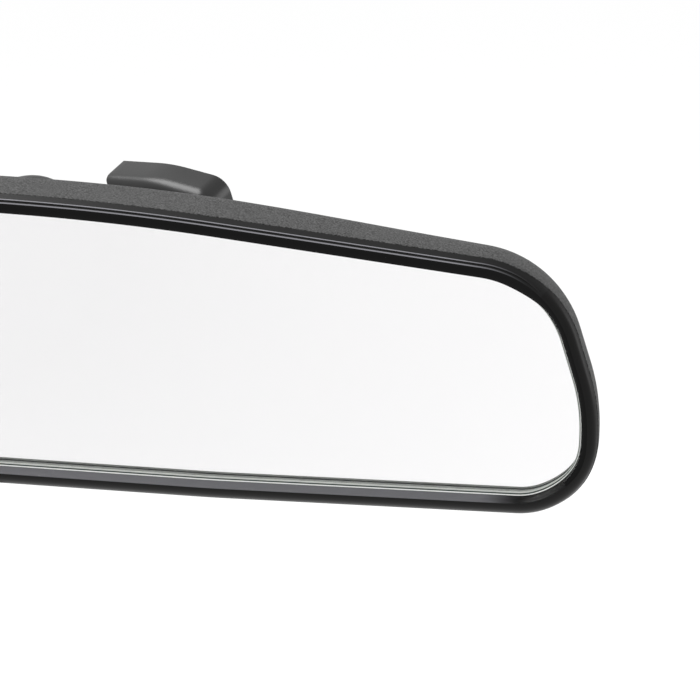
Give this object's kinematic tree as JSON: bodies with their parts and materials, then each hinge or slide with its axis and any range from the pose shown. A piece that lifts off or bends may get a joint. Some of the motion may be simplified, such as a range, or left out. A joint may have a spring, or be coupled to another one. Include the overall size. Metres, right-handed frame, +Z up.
{
  "type": "interior rearview mirror",
  "caption": "Interior rearview mirror: prismatic glass in a black housing with day/night lever, on a double-ball arm and a slide-on windshield foot.",
  "frame": {"origin": "centre of the face bonded to the windshield, on the outer side of the adhesive", "axes": "+X to the right as seen from the cabin, +Y forward to the windshield, +Z up; the head is stored turned 26.5 degrees to the right"},
  "size_m": [0.2271, 0.1515, 0.0713],
  "materials": {
    "housing_black": "fine stippled moulding",
    "bezel_black": "polished black",
    "clear_glass": "polished prismatic glass",
    "silvering": "vapour-deposited reflector",
    "film": "shatter film",
    "foam": "closed-cell foam",
    "zinc_steel": "zinc-plated steel",
    "black_steel": "semi-gloss black paint",
    "die_cast": "black-painted die casting",
    "nylon": "natural nylon",
    "lever_black": "moulded acetal",
    "tab_rubber": "soft touch",
    "seal_rubber": "moulded rubber",
    "spring_steel": "spring steel",
    "button_steel": "sintered steel",
    "adhesive": "cured structural adhesive"
  },
  "bodies": {
    "mount": {"mount_foot": "die_cast", "mount_ball_stud": "zinc_steel", "set_screw": "zinc_steel", "windshield_button": "button_steel", "adhesive_pad": "adhesive"},
    "mount_liner": {"mount_ball_liner": "nylon"},
    "arm": {"arm_tube": "black_steel", "head_pressure_plate": "zinc_steel", "mount_pressure_plate": "zinc_steel", "arm_spring": "spring_steel"},
    "head_liner": {"head_ball_liner": "nylon"},
    "stud": {"head_ball_stud": "zinc_steel", "stud_washer": "spring_steel", "stud_nut": "zinc_steel", "stud_boot": "seal_rubber"},
    "bracket": {"pivot_bracket": "zinc_steel", "hinge_pin": "zinc_steel", "detent_spring": "spring_steel", "spring_rivets": "zinc_steel"},
    "case": {"rear_housing": "housing_black", "front_bezel": "bezel_black", "mirror_glass": "clear_glass", "mirror_coating": "silvering", "shatter_film": "film", "foam_pad": "foam", "toggle_carrier": "lever_black", "carrier_screws": "zinc_steel", "lever_pin": "zinc_steel"},
    "lever": {"day_night_lever": "lever_black", "lever_tab": "tab_rubber"}
  },
  "joints": [
    {"name": "arm_swing", "type": "hinge", "parent": "mount", "child": "mount_liner", "pos_m": [0, -0.02071, -0.00265], "axis": [0, 0, 1], "range_deg": [-25, 25]},
    {"name": "arm_lift", "type": "hinge", "parent": "mount_liner", "child": "arm", "pos_m": [0, -0.02071, -0.00265], "axis": [1, 0, 0], "range_deg": [-20, 20]},
    {"name": "head_turn", "type": "hinge", "parent": "arm", "child": "head_liner", "pos_m": [0, -0.05611, 0.00975], "axis": [0, 0, 1], "range_deg": [-70, 18]},
    {"name": "head_tilt", "type": "hinge", "parent": "head_liner", "child": "stud", "pos_m": [0, -0.05611, 0.00975], "axis": [0.8949, 0.4462, 0], "range_deg": [-12, 12]},
    {"name": "head_roll", "type": "hinge", "parent": "stud", "child": "bracket", "pos_m": [0, -0.05611, 0.00975], "axis": [-0.4462, 0.8949, 0], "range_deg": [-12, 12]},
    {"name": "day_night", "type": "hinge", "parent": "bracket", "child": "case", "pos_m": [0.01004, -0.07625, 0.01645], "axis": [-0.8949, -0.4462, 0], "range_deg": [0, 4]},
    {"name": "lever_flip", "type": "hinge", "parent": "case", "child": "lever", "pos_m": [0.01316, -0.08251, -0.02695], "axis": [-0.8949, -0.4462, 0], "range_deg": [0, 25]}
  ],
  "couplings": [
    {"joint": "lever_flip", "follows": "day_night", "ratio": 6.25}
  ]
}
